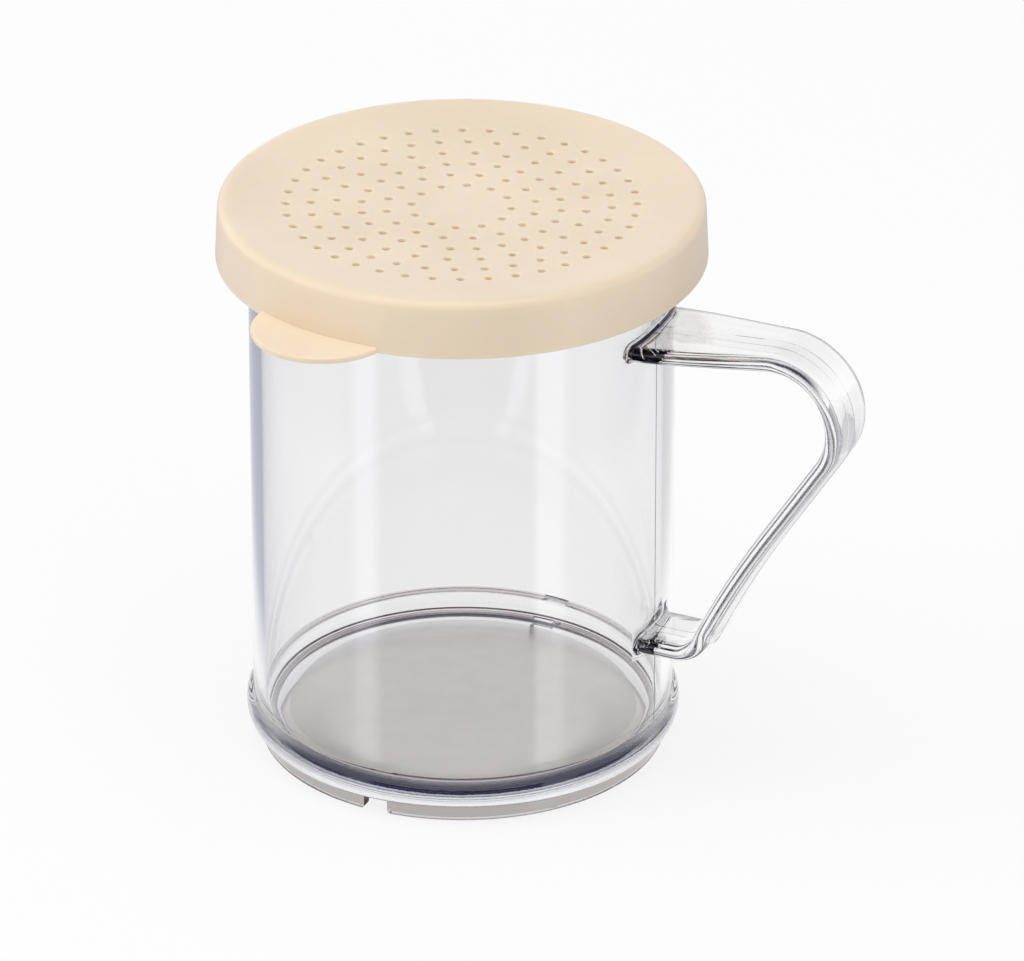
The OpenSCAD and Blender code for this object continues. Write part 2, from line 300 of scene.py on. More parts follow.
def pick_edges(piece, wanted):
    """In edit mode, selects the edges whose two ends pass the test together."""
    bpy.ops.mesh.select_mode(type="EDGE")
    bpy.ops.mesh.select_all(action="DESELECT")
    mesh = bmesh.from_edit_mesh(piece.data)
    for edge in mesh.edges:
        edge.select_set(bool(wanted(edge.verts[0].co, edge.verts[1].co)))
    bmesh.update_edit_mesh(piece.data)


def draw_outline(name, corners, lay):
    """Draws a closed flat outline with one face, and rounds its corners.

    corners are (across, up, radius of the corner), and lay turns (across, up) into a place.
    """
    places = [lay(across, up) for across, up, _ in corners]
    bpy.ops.object.select_all(action="DESELECT")
    bpy.ops.mesh.primitive_plane_add(size=MM)
    piece = bpy.context.object
    piece.name = name
    bpy.ops.object.mode_set(mode="EDIT")
    bpy.ops.mesh.select_mode(type="VERT")
    bpy.ops.mesh.select_all(action="SELECT")
    bpy.ops.mesh.merge(type="CENTER")
    bpy.ops.transform.translate(value=places[0])
    for here, there in zip(places, places[1:]):
        bpy.ops.mesh.extrude_vertices_move(TRANSFORM_OT_translate={"value": there - here})
    pick_points(piece, lambda p: min((p - places[0]).length, (p - places[-1]).length) < SAME_PLACE)
    bpy.ops.mesh.edge_face_add()
    bpy.ops.mesh.select_all(action="SELECT")
    bpy.ops.mesh.edge_face_add()
    for i, (_, _, radius) in enumerate(corners):
        if radius:
            to_last = (places[i - 1] - places[i]).normalized()
            to_next = (places[(i + 1) % len(places)] - places[i]).normalized()
            reach = radius / math.tan(to_last.angle(to_next) / 2)
            pick_points(piece, lambda p, corner=places[i]: (p - corner).length < SAME_PLACE)
            bpy.ops.mesh.bevel(
                offset=reach,
                offset_type="OFFSET",
                segments=ARC_SEGMENTS,
                affect="VERTICES",
                clamp_overlap=False,
            )
    stop_editing()
    return piece


def side_view(across, up):
    return Vector((across, 0, up))


def close_shell():
    """In edit mode, closes seams and poles and turns all faces outwards."""
    bpy.ops.mesh.select_all(action="SELECT")
    bpy.ops.mesh.remove_doubles(threshold=SAME_PLACE)
    bpy.ops.mesh.normals_make_consistent(inside=False)


def spin_round(piece, steps, cuts=0):
    """Turns an outline in the XZ plane once about Z into a shell facing outwards.

    Where cuts are asked for, each edge that is taller than LONG_EDGE first gets that many cuts.
    """
    start_editing(piece)
    bpy.ops.mesh.select_all(action="SELECT")
    bpy.ops.mesh.delete(type="ONLY_FACE")
    pick_edges(piece, lambda a, b: max(abs(a.x), abs(b.x)) < SAME_PLACE)
    bpy.ops.mesh.delete(type="EDGE")
    if cuts:
        pick_edges(piece, lambda a, b: abs(a.z - b.z) > LONG_EDGE)
        bpy.ops.mesh.subdivide(number_cuts=cuts)
    bpy.ops.mesh.select_all(action="SELECT")
    bpy.ops.mesh.spin(steps=steps, angle=math.tau, center=(0, 0, 0), axis=(0, 0, 1))
    close_shell()
    stop_editing()


def pull_through(piece, way):
    """Gives a flat outline depth along a way, as a closed shell facing outwards."""
    start_editing(piece)
    bpy.ops.mesh.select_all(action="SELECT")
    bpy.ops.mesh.extrude_region_move(TRANSFORM_OT_translate={"value": way})
    close_shell()
    stop_editing()


def combine(piece, tool, how):
    """Joins a tool to a piece, or cuts it out of the piece, and removes the tool."""
    joint = piece.modifiers.new("combine", "BOOLEAN")
    joint.operation = how
    joint.object = tool
    joint.solver = "MANIFOLD"
    make_active(piece)
    bpy.ops.object.modifier_apply(modifier=joint.name)
    bpy.data.objects.remove(tool)


def smooth(piece):
    make_active(piece)
    bpy.ops.object.shade_smooth_by_angle(angle=SMOOTH_LIMIT)


# ---------------------------------------------------------------- the clear mug


def band_face():
    """Points of the base band's crowned face, one arc from its lower edge to its upper edge."""
    half = (BAND_HIGH - BAND_LOW) / 2
    arc_r = (half**2 + BAND_OUT**2) / (2 * BAND_OUT)
    reach = math.asin(half / arc_r)
    turns = [reach * (2 * i / BAND_POINTS - 1) for i in range(BAND_POINTS + 1)]
    centre = CUP_R + BAND_OUT - arc_r
    return [(centre + arc_r * math.cos(a), BAND_LOW + half + arc_r * math.sin(a), 0) for a in turns]


def make_cup():
    """Foot, base band, wall, rim flange and floor as one spun shell."""
    rim_low = CUP_TOP - RIM_THICK
    top = CUP_TOP - SEAT_GAP
    cup = draw_outline(
        "clear_mug",
        [
            (0, FLOOR_UNDER, 0),
            (SATIN_R, FLOOR_UNDER, 0),
            (FOOT_R - FOOT_WALL, FLOOR_UNDER, FOOT_ROOT_ROUND),
            (FOOT_R - FOOT_WALL, 0, FOOT_EDGE),
            (FOOT_R, 0, FOOT_EDGE),
            (FOOT_R, BAND_LOW, BAND_ROOT_ROUND),
        ]
        + band_face()
        + [
            (CUP_R, rim_low, RIM_ROOT_ROUND),
            (RIM_R, rim_low, RIM_ROUND),
            (RIM_R, top, RIM_ROUND),
            (CAVITY_R, top, MOUTH_ROUND),
            (CAVITY_R, FLOOR_TOP, FLOOR_ROUND),
            (0, FLOOR_TOP, 0),
        ],
        side_view,
    )
    spin_round(cup, TURN_STEPS, cuts=WALL_CUTS)
    return cup


def make_notch_tool():
    """The shape of both drain notches, right through the foot along Y, flared at the table."""
    half = NOTCH_W / 2
    flare = half + NOTCH_ROUND
    low = -CUTTER_SPARE
    length = 2 * (FOOT_R + CUTTER_SPARE)
    tool = draw_outline(
        "notch_tool",
        [
            (-flare, low, 0),
            (flare, low, 0),
            (flare, 0, 0),
            (half, 0, NOTCH_ROUND * NOTCH_ROUNDING),
            (half, NOTCH_H, NOTCH_TOP_ROUND),
            (-half, NOTCH_H, NOTCH_TOP_ROUND),
            (-half, 0, NOTCH_ROUND * NOTCH_ROUNDING),
            (-flare, 0, 0),
        ],
        lambda across, up: Vector((across, -length / 2, up)),
    )
    pull_through(tool, (0, length, 0))
    return tool


def make_wall_line():
    """The fine raised parting line on the cup's wall, under the handle's middle."""
    line = draw_outline(
        "wall_line",
        [
            (CUP_R - PARTING_ROOT, -PARTING_W / 2, 0),
            (CUP_R - PARTING_SINK, -PARTING_W / 2, 0),
            (CUP_R + PARTING_H, 0, 0),
            (CUP_R - PARTING_SINK, PARTING_W / 2, 0),
            (CUP_R - PARTING_ROOT, PARTING_W / 2, 0),
        ],
        lambda across, up: Vector((across, up, BAND_HIGH - PARTING_ROOT)),
    )
    pull_through(line, (0, 0, CUP_TOP - RIM_THICK + PARTING_ROOT - BAND_HIGH))
    return line


def strap_corners():
    """The strap's cross-section: round edges, a flat inner face and a crowned outer face.

    The parting line stands out in the middle of both faces.
    """
    t = STRAP_T / 2
    half = STRAP_ROOT_W / 2
    flat = half - t
    line = PARTING_W / 2
    edge = t * STRAP_ROUNDING
    right = [(flat * y, t + STRAP_CROWN * (1 + math.cos(math.pi * y)) / 2, 0) for y in CROWN_SHARES]
    left = [(-across, up, 0) for across, up, _ in reversed(right)]
    top = t + STRAP_CROWN
    under = [(across, -t, 0) for across, _, _ in right]
    return (
        [(-half, -t, edge)]
        + [(-across, up, 0) for across, up, _ in under]
        + [(-line, -t, 0), (0, -t - PARTING_H, 0), (line, -t, 0)]
        + under[::-1]
        + [(half, -t, edge), (half, t, edge)]
        + right
        + [(line, top, 0), (0, top + PARTING_H, 0), (-line, top, 0)]
        + left
        + [(-half, t, edge)]
    )


def strap_way():
    """The strap's way between the fillets of its roots, as (length, turn) stretches.

    The grip touches both bends: across and lengthwise are the way between the bends' centres, measured
    across and along the straight grip.
    """
    upper_x = REACH - STRAP_CROWN - PARTING_H - STRAP_T / 2 - UPPER_BEND_R
    upper_z = UPPER_BAR_Z + (upper_x - ROOT_X) * math.tan(UPPER_RISE) - UPPER_BEND_R / math.cos(UPPER_RISE)
    lower_x = CUP_R + LOWER_BAR_L
    lower_z = LOWER_BAR_Z + LOWER_BEND_R
    between = Vector((lower_x - upper_x, lower_z - upper_z))
    across = UPPER_BEND_R + GRIP_CURVE_R - (GRIP_CURVE_R + LOWER_BEND_R) * math.cos(GRIP_CURVE_TURN)
    lengthwise = math.sqrt(between.length_squared - across**2)
    grip_heading = math.atan2(between.y, between.x) - math.atan2(across, lengthwise)
    grip_l = lengthwise - (GRIP_CURVE_R + LOWER_BEND_R) * math.sin(GRIP_CURVE_TURN)
    bar_l = (upper_x - UPPER_BEND_R * math.sin(UPPER_RISE) - LEVEL_X) / math.cos(UPPER_RISE)
    upper_turn = grip_heading - UPPER_RISE
    lower_turn = -math.pi - (grip_heading + GRIP_CURVE_TURN)
    return [
        (bar_l, 0),
        (-upper_turn * UPPER_BEND_R, upper_turn),
        (grip_l, 0),
        (GRIP_CURVE_TURN * GRIP_CURVE_R, GRIP_CURVE_TURN),
        (-lower_turn * LOWER_BEND_R, lower_turn),
        (lower_x - LEVEL_X, 0),
    ]


def half_width(run):
    """Half the strap's width at a distance from the upper root: it narrows along half a wave."""
    return STRAP_W / 2 + (STRAP_ROOT_W - STRAP_W) / 4 * (1 + math.cos(math.pi * min(run / TAPER_RUN, 1)))


def root_steps():
    """Gap from the wall and spread of the strap at each step of a root's fillet, from the wall outwards."""
    turns = [math.pi / 2 * i / ROOT_STEPS for i in range(ROOT_STEPS + 1)]
    return [(ROOT_R * (1 - math.cos(a)) if a else -UNDER_SKIN, ROOT_R * (1 - math.sin(a))) for a in turns]


def ways(heading):
    """Directions along the strap and out of its outer face."""
    ahead = Vector((math.cos(heading), 0, math.sin(heading)))
    outward = Vector((-math.sin(heading), 0, math.cos(heading)))
    return ahead, outward


def add_ring(move=(0, 0, 0)):
    """In edit mode, draws a new ring out of the selected one and moves it."""
    bpy.ops.mesh.extrude_region_move(TRANSFORM_OT_translate={"value": move})


def move_ring(strap, way):
    """In edit mode, moves each point of the selected ring by the way worked out from its place."""
    mesh = bmesh.from_edit_mesh(strap.data)
    ring = [point.index for point in mesh.verts if point.select]
    for i in ring:
        mesh = bmesh.from_edit_mesh(strap.data)
        mesh.verts.ensure_lookup_table()
        bpy.ops.mesh.select_all(action="DESELECT")
        mesh.verts[i].select_set(True)
        move = way(mesh.verts[i].co)
        bmesh.update_edit_mesh(strap.data)
        bpy.ops.transform.translate(value=move)
    mesh = bmesh.from_edit_mesh(strap.data)
    mesh.verts.ensure_lookup_table()
    for i in ring:
        mesh.verts[i].select_set(True)
    mesh.select_flush(True)
    bmesh.update_edit_mesh(strap.data)


def set_width(strap, half, wanted):
    """In edit mode, takes the selected ring from one half width to another.

    Its round edges and its parting line keep their shape.
    """
    flat, wanted_flat = half - STRAP_T / 2, wanted - STRAP_T / 2

    def way(place):
        if abs(place.y) <= PARTING_W:
            return Vector()
        if abs(place.y) >= flat - SAME_PLACE:
            return Vector((0, math.copysign(1, place.y) * (wanted_flat - flat), 0))
        return Vector((0, place.y * (wanted_flat / flat - 1), 0))

    move_ring(strap, way)


def shape_root(strap, root, heading, half, growth, distance):
    """In edit mode, grows the selected ring in the strap's section and slides each point by its distance."""
    ahead, outward = ways(heading)
    flat = half - STRAP_T / 2

    def way(place):
        height = (place - root).dot(outward)
        over = math.copysign(max(abs(place.y) - flat, 0), place.y)
        side = Vector((0, over, 0)) + outward * height if over else outward * math.copysign(1, height)
        grown = place + side.normalized() * growth
        return grown + ahead * distance(grown) - place

    move_ring(strap, way)


def make_strap():
    """The handle's strap, from inside the wall, along its way and back into the wall, shaped at each step."""
    heading = UPPER_RISE
    root = Vector((ROOT_X, 0, UPPER_BAR_Z))
    ahead, _ = ways(heading)
    start_z = UPPER_BAR_Z + (EMBEDDED_X - ROOT_X) * math.tan(heading)
    strap = draw_outline(
        "strap",
        strap_corners(),
        lambda across, up: Vector((EMBEDDED_X, across, start_z + up / math.cos(heading))),
    )
    start_editing(strap)
    bpy.ops.mesh.select_all(action="SELECT")
    half = half_width(0)
    shape_root(strap, root, heading, half, ROOT_R, lambda p: (EMBEDDED_X - p.x) / math.cos(heading))
    spread = ROOT_R
    for gap, wanted in root_steps():
        add_ring()
        shape_root(
            strap,
            root,
            heading,
            half,
            wanted - spread,
            lambda p, gap=gap: (math.sqrt(CUP_R**2 - p.y**2) + gap - p.x) / math.cos(heading),
        )
        spread = wanted
    run = (LEVEL_X - ROOT_X) / math.cos(heading)
    add_ring()
    shape_root(strap, root, heading, half, 0, lambda p: run - (p - root).dot(ahead))
    set_width(strap, half, half_width(run))
    here = root + ahead * run
    for length, turn in strap_way():
        ahead, outward = ways(heading)
        steps = math.ceil(max(length / STRAIGHT_STEP, abs(turn) / BEND_STEP))
        centre = here + outward * (length / turn) if turn else None
        for _ in range(steps):
            if turn:
                bpy.ops.mesh.spin(steps=1, angle=turn / steps, center=centre, axis=(0, 1, 0))
            else:
                add_ring(ahead * (length / steps))
            half, wanted = half_width(run), half_width(run + length / steps)
            if half != wanted:
                set_width(strap, half, wanted)
            run += length / steps
        heading += turn
        here = centre - ways(heading)[1] * (length / turn) if turn else here + ahead * length
    half = half_width(run)
    spread = 0
    for gap, wanted in reversed(root_steps()):
        add_ring()
        shape_root(
            strap,
            here,
            heading,
            half,
            wanted - spread,
            lambda p, gap=gap: p.x - math.sqrt(CUP_R**2 - p.y**2) - gap,
        )
        spread = wanted
    add_ring()
    shape_root(strap, here, heading, half, 0, lambda p: p.x - EMBEDDED_X)
    close_shell()
    stop_editing()
    return strap


def make_mug():
    mug = make_cup()
    combine(mug, make_strap(), "UNION")
    combine(mug, make_wall_line(), "UNION")
    combine(mug, make_notch_tool(), "DIFFERENCE")
    smooth(mug)
    return mug


# ---------------------------------------------------------------- the lid


def plate_z(r):
    """Height of the plate's top at a distance from the axis."""
    return LID_TOP - DISH * (1 - (r / PLATE_EDGE_R) ** DISH_POWER)


def make_lid_shell():
    """Dished plate, rounded edge, flared skirt, snap bead and seat as one spun shell."""
    top = [(r * MM, plate_z(r * MM), 0) for r in PLATE_TOP_RADII]
    under = [(r * MM, min(plate_z(r * MM) - PLATE_T, CUP_TOP), 0) for r in PLATE_UNDER_RADII]
    lean = (SKIRT_LOW_R - SKIRT_TOP_R) / (LID_TOP - LID_LOW)

    def inside(z):
        """Radius of the skirt's inner face at a height."""
        return SKIRT_LOW_R - SKIRT_T - (z - LID_LOW) * lean

    shell = draw_outline(
        "beige_lid",
        top
        + [
            (SKIRT_TOP_R, LID_TOP, EDGE_ROUND),
            (SKIRT_LOW_R, LID_LOW, SKIRT_EDGE),
            (SKIRT_LOW_R - SKIRT_T, LID_LOW, SKIRT_EDGE),
            (inside(BEAD_Z - BEAD_FOOT), BEAD_Z - BEAD_FOOT, 0),
            (BEAD_REACH, BEAD_Z - BEAD_CREST, BEAD_ROUND),
            (BEAD_REACH, BEAD_Z + BEAD_CREST, BEAD_ROUND),
            (inside(BEAD_Z + BEAD_FOOT), BEAD_Z + BEAD_FOOT, 0),
            (SKIRT_TOP_R - SKIRT_T, CUP_TOP, SEAT_ROUND),
            (CAVITY_R, CUP_TOP, 0),
        ]
        + under,
        side_view,
    )
    spin_round(shell, TURN_STEPS)
    return shell


def make_tab():
    """The thumb tab: a round plate with soft edges, cut to the skirt."""
    centre = Vector((math.cos(TAB_ANGLE), math.sin(TAB_ANGLE), 0)) * TAB_CENTRE
    bpy.ops.object.select_all(action="DESELECT")
    bpy.ops.mesh.primitive_circle_add(vertices=TAB_SIDES, radius=TAB_R, fill_type="NGON")
    tab = bpy.context.object
    tab.name = "tab"
    start_editing(tab)
    bpy.ops.mesh.select_all(action="SELECT")
    bpy.ops.transform.translate(value=centre + Vector((0, 0, LID_LOW)))
    bpy.ops.mesh.extrude_region_move(TRANSFORM_OT_translate={"value": (0, 0, TAB_T)})
    close_shell()
    pick_edges(tab, lambda a, b: abs(a.z - b.z) < SAME_PLACE)
    bpy.ops.mesh.bevel(
        offset=TAB_ROUND,
        offset_type="OFFSET",
        segments=TAB_SEGMENTS,
        affect="EDGES",
        clamp_overlap=False,
    )
    stop_editing()
    bpy.ops.object.select_all(action="DESELECT")
    bpy.ops.mesh.primitive_cylinder_add(
        vertices=TURN_STEPS, radius=SKIRT_LOW_R - SKIRT_T / 2, depth=TAB_CUTTER_H, location=(0, 0, LID_LOW)
    )
    combine(tab, bpy.context.object, "DIFFERENCE")
    return tab


def make_hole_tool():
    """The cutter for all the holes: one with a flared mouth is made on the axis and copied to each hole."""
    wide = HOLE_R + HOLE_LIP
    flare = [
        (HOLE_R + HOLE_LIP * (1 - math.cos(a)), -HOLE_LIP * (1 - math.sin(a)), 0) for a in LIP_TURNS
    ]
    cutter = draw_outline(
        "holes",
        [(0, HOLE_CUTTER_LOW, 0), (HOLE_R, HOLE_CUTTER_LOW, 0)]
        + flare
        + [(wide, LIP_TOP, 0), (wide, HOLE_CUTTER_TOP, 0), (0, HOLE_CUTTER_TOP, 0)],
        side_view,
    )
    spin_round(cutter, HOLE_SIDES)
    copies = []
    for ring, count in enumerate(RING_COUNTS):
        r = (ring + FIRST_RING) * RING_PITCH
        for i in range(count):
            angle = TAB_ANGLE + math.tau * i / count
            copy = cutter.copy()
            copy.data = cutter.data.copy()
            bpy.context.scene.collection.objects.link(copy)
            copy.location = (r * math.cos(angle), r * math.sin(angle), plate_z(r))
            copies.append(copy)
    bpy.ops.object.select_all(action="DESELECT")
    for copy in copies:
        copy.select_set(True)
    bpy.context.view_layer.objects.active = copies[0]
    bpy.ops.object.join()
    bpy.ops.object.transform_apply(location=True, rotation=False, scale=False)
    bpy.data.objects.remove(cutter)
    return bpy.context.object


def make_lid():
    lid = make_lid_shell()
    combine(lid, make_tab(), "UNION")
    combine(lid, make_hole_tool(), "DIFFERENCE")
    smooth(lid)
    return lid


# ---------------------------------------------------------------- node tools


def fill(tree, socket, value):
    """Gives an input a value, or links it to another node's output."""
    if isinstance(value, bpy.types.NodeSocket):
        tree.links.new(value, socket)
    else:
        socket.default_value = value


def fill_named(tree, node, inputs):
    """Fills a node's inputs by name. An underline in a name stands for a space."""
    for name, value in inputs.items():
        fill(tree, node.inputs[name.replace("_", " ")], value)


def add_node(tree, kind, settings=None, **inputs):
    """Adds a node. settings are its own properties, and inputs are values or sockets for its inputs."""
    node = tree.nodes.new(kind)
    for name, value in (settings or {}).items():
        setattr(node, name, value)
    fill_named(tree, node, inputs)
    return node


def map_range(tree, value, given, wanted=(0, 1)):
    """Maps one range of a value onto another, and stops at both ends."""
    node = add_node(
        tree,
        "ShaderNodeMapRange",
        Value=value,
        From_Min=given[0],
        From_Max=given[1],
        To_Min=wanted[0],
        To_Max=wanted[1],
    )
    return node.outputs[0]


def add_maths(tree, operation, first, second, clamp=False):
    node = add_node(tree, "ShaderNodeMath", {"operation": operation, "use_clamp": clamp})
    fill(tree, node.inputs[0], first)
    fill(tree, node.inputs[1], second)
    return node.outputs[0]


def mix_colours(tree, share, first, second, blend="MIX"):
    """Mixes two colours: a share of 0 gives the first, and a share of 1 the second."""
    mix = add_node(tree, "ShaderNodeMix", {"data_type": "RGBA", "blend_type": blend})
    for socket, value in zip(COLOUR_MIX_INPUTS, (share, first, second)):
        fill(tree, mix.inputs[socket], value)
    return mix.outputs[COLOUR_MIX_RESULT]


def mix_shaders(tree, share, first, second):
    """Mixes two shaders: a share of 0 gives the first, and a share of 1 the second."""
    mix = tree.nodes.new("ShaderNodeMixShader")
    for socket, value in zip(mix.inputs, (share, first, second)):
        fill(tree, socket, value)
    return mix.outputs[0]


def add_ramp(tree, share, tones):
    """Adds a colour ramp made of (position, colour) pairs, read at a share of its length."""
    node = add_node(tree, "ShaderNodeValToRGB", Fac=share)
    elements = node.color_ramp.elements
    for position, _ in tones[2:]:
        elements.new(position)
    for element, (position, colour) in zip(elements, tones):
        element.position = position
        element.color = colour
    return node


def new_group(name, inputs, outputs):
    """A node group with named sockets: inputs and outputs map a name to a kind of socket."""
    tree = bpy.data.node_groups.new(name, "ShaderNodeTree")
    for way, sockets in (("INPUT", inputs), ("OUTPUT", outputs)):
        for socket, kind in sockets.items():
            tree.interface.new_socket(socket, in_out=way, socket_type=kind)
    return tree, tree.nodes.new("NodeGroupInput"), tree.nodes.new("NodeGroupOutput")


def use_group(tree, group, **inputs):
    node = tree.nodes.new("ShaderNodeGroup")
    node.node_tree = group
    fill_named(tree, node, inputs)
    return node


# ---------------------------------------------------------------- finishes


def make_mould_grain():
    """Height of a moulded face: fine grain from the mould over a slow unevenness of the surface."""
    number = "NodeSocketFloat"
    tree, given, out = new_group(
        "mould_grain",
        {"Place": "NodeSocketVector", "Grain": number, "Wave": number, "Share": number},
        {"Height": number},
    )
    place = given.outputs["Place"]
    grain = add_node(tree, "ShaderNodeTexNoise", Vector=place, Scale=given.outputs["Grain"], Detail=2.0)
    wave = add_node(tree, "ShaderNodeTexNoise", Vector=place, Scale=given.outputs["Wave"], Detail=1.0)
    share = given.outputs["Share"]
    both = add_node(tree, "ShaderNodeMix", Factor=share, A=wave.outputs[0], B=grain.outputs[0])
    tree.links.new(both.outputs["Result"], out.inputs["Height"])
    return tree


def make_uneven_tint():
    """A colour that drifts between two tints in soft patches, and the mask of the patches."""
    tree, given, out = new_group(
        "uneven_tint",
        {
            "Place": "NodeSocketVector",
            "Tint": "NodeSocketColor",
            "Other tint": "NodeSocketColor",
            "Patches": "NodeSocketFloat",
        },
        {"Color": "NodeSocketColor", "Mask": "NodeSocketFloat"},
    )
    place = given.outputs["Place"]
    patches = add_node(tree, "ShaderNodeTexNoise", Vector=place, Scale=given.outputs["Patches"], Detail=4.0)
    mask = map_range(tree, patches.outputs[0], PATCH_EDGE)
    colour = mix_colours(tree, mask, given.outputs["Tint"], given.outputs["Other tint"])
    tree.links.new(colour, out.inputs["Color"])
    tree.links.new(mask, out.inputs["Mask"])
    return tree


def new_finish(name):
    """A material with its Principled shader and the Object coordinates."""
    finish = bpy.data.materials.new(name)
    finish.use_nodes = True
    tree = finish.node_tree
    shader = tree.nodes["Principled BSDF"]
    place = tree.nodes.new("ShaderNodeTexCoord").outputs["Object"]
    return finish, tree, shader, place


def add_relief(tree, shader, group, place, strength, depth, **scales):
    """Feeds a finish's Normal from the mould's grain. The scales are the grain group's own inputs."""
    height = use_group(tree, group, Place=place, **scales).outputs["Height"]
    bump = add_node(tree, "ShaderNodeBump", Strength=strength, Distance=depth, Height=height)
    tree.links.new(bump.outputs[0], shader.inputs["Normal"])


def make_clear_plastic(grain):
    """Clear glossy moulded plastic with a faint waviness."""
    finish, tree, shader, place = new_finish("clear_plastic")
    values = {
        "Base Color": CLEAR_TINT,
        "Transmission Weight": 1,
        "IOR": PLASTIC_IOR,
        "Roughness": 0.01,
    }
    fill_named(tree, shader, values)
    add_relief(tree, shader, grain, place, strength=0.1, depth=0.05 * MM, Grain=900.0, Wave=60.0, Share=0.05)
    return finish


def make_satin_floor(grain, tint):
    """The floor's textured underside: the same plastic, etched in the mould, and smooth to grazing light."""
    finish, tree, shader, place = new_finish("satin_floor")
    first, second = SATIN_TINTS
    colour = use_group(tree, tint, Place=place, Tint=first, Other_tint=second, Patches=260.0)
    facing = add_node(tree, "ShaderNodeLayerWeight", Blend=0.5).outputs["Facing"]
    values = {
        "Base Color": colour.outputs["Color"],
        "Transmission Weight": 1,
        "IOR": PLASTIC_IOR,
        "Roughness": map_range(tree, facing, SATIN_FACING, SATIN_ROUGHNESS),
    }
    fill_named(tree, shader, values)
    add_relief(tree, shader, grain, place, strength=0.03, depth=0.1 * MM, Grain=2200.0, Wave=500.0, Share=0.5)
    return finish


def make_lid_plastic(grain, tint):
    """Warm beige satin plastic that lets a little light in."""
    finish, tree, shader, place = new_finish("lid_plastic")
    first, second = LID_TINTS
    colour = use_group(tree, tint, Place=place, Tint=first, Other_tint=second, Patches=55.0)
    values = {
        "Base Color": colour.outputs["Color"],
        "Roughness": map_range(tree, colour.outputs["Mask"], (0, 1), LID_ROUGHNESS),
        "Subsurface Weight": 0.4,
        "Subsurface Radius": (1.0, 0.6, 0.35),
        "Subsurface Scale": 1.5 * MM,
    }
    fill_named(tree, shader, values)
    add_relief(tree, shader, grain, place, strength=0.12, depth=0.06 * MM, Grain=2600.0, Wave=90.0, Share=0.4)
    return finish


def dress(mug, lid):
    """Gives both pieces their finishes. The disc under the mug's floor is satin, and the rest of it clear."""
    grain = make_mould_grain()
    tint = make_uneven_tint()
    mug.data.materials.clear()
    lid.data.materials.clear()
    mug.data.materials.append(make_clear_plastic(grain))
    mug.data.materials.append(make_satin_floor(grain, tint))
    for face in mug.data.polygons:
        centre = face.center
        if abs(centre.z - FLOOR_UNDER) < SAME_LEVEL and math.hypot(centre.x, centre.y) < SATIN_R:
            face.material_index = 1
    lid.data.materials.append(make_lid_plastic(grain, tint))


# ---------------------------------------------------------------- studio


def camera_side():
    """The level direction from the shaker's axis towards the camera."""
    return Vector((math.sin(VIEW_AZIMUTH), -math.cos(VIEW_AZIMUTH), 0))


def painted_contact_shade(tree, place):
    """The painted shade where the foot meets the floor, as the plastic shows it, and how far it covers the
    studio.

    It has its own tones on the camera's side of the axis and beyond it.
    """
    distance = add_node(tree, "ShaderNodeVectorMath", {"operation": "LENGTH"}, Vector=place)
    share = map_range(tree, distance.outputs["Value"], (0, CONTACT_REACH))
    towards = add_node(tree, "ShaderNodeVectorMath", {"operation": "DOT_PRODUCT"})
    fill(tree, towards.inputs[0], place)
    fill(tree, towards.inputs[1], camera_side())
    side = map_range(tree, towards.outputs["Value"], (-CONTACT_TURN, CONTACT_TURN))
    far = add_ramp(tree, share, [(r * MM / CONTACT_REACH, tone) for r, tone in FAR_CONTACT_SHADE])
    near = add_ramp(tree, share, [(r * MM / CONTACT_REACH, tone) for r, tone in NEAR_CONTACT_SHADE])
    tones = mix_colours(tree, side, far.outputs["Color"], near.outputs["Color"])
    return tones, near.outputs["Alpha"]


def painted_studio_reflection(tree, place):
    """Painted reflection that gloss shows on the floor: painted shade towards the camera with two soft
    painted highlight strips, paler at the sides, and painted shade behind.
    """
    to_camera = camera_side()
    from_centre = add_node(
        tree,
        "ShaderNodeMapping",
        {"vector_type": "TEXTURE"},
        Vector=place,
        Location=to_camera * REFLECTION_CENTRE,
        Rotation=(0, 0, math.atan2(to_camera.y, to_camera.x)),
    ).outputs[0]
    around = add_node(tree, "ShaderNodeTexGradient", {"gradient_type": "RADIAL"}, Vector=from_centre)
    front = add_ramp(tree, around.outputs["Fac"], [(0.5 + angle / 360, tone) for angle, tone in PAINTED_FRONT_TONES])
    across = add_node(tree, "ShaderNodeSeparateXYZ", Vector=from_centre).outputs["Y"]
    share = map_range(tree, across, (-BACKDROP_SPAN / 2, BACKDROP_SPAN / 2))
    behind = add_ramp(tree, share, [(0.5 + y * MM / BACKDROP_SPAN, tone) for y, tone in PAINTED_BACKDROP_TONES])
    return mix_colours(tree, front.outputs["Alpha"], behind.outputs["Color"], front.outputs["Color"])


def see_through(tree, paths):
    """1 for a ray reflected or let through by a surface, before any dull surface has scattered it."""
    clear = add_maths(tree, "MAXIMUM", paths.outputs["Is Glossy Ray"], paths.outputs["Is Transmission Ray"])
    return add_maths(tree, "SUBTRACT", clear, paths.outputs["Diffuse Depth"], clamp=True)


def painted_bounce_shade(tree, paths, colour):
    """Painted shade on a colour seen after many reflections and bends in the plastic: greyer, and dark blue
    after many turns.
    """
    depth = map_range(tree, paths.outputs["Ray Depth"], (0, BOUNCES))
    bounce_shade = add_ramp(tree, depth, [(turns / BOUNCES, tone) for turns, tone in BOUNCE_SHADE_TONES])
    return mix_colours(tree, 1, colour, bounce_shade.outputs["Color"], blend="MULTIPLY")


def start_tree(holder):
    """Empties the nodes of a material or a world, and adds its Light Path."""
    holder.use_nodes = True
    tree = holder.node_tree
    tree.nodes.clear()
    return tree, tree.nodes.new("ShaderNodeLightPath")


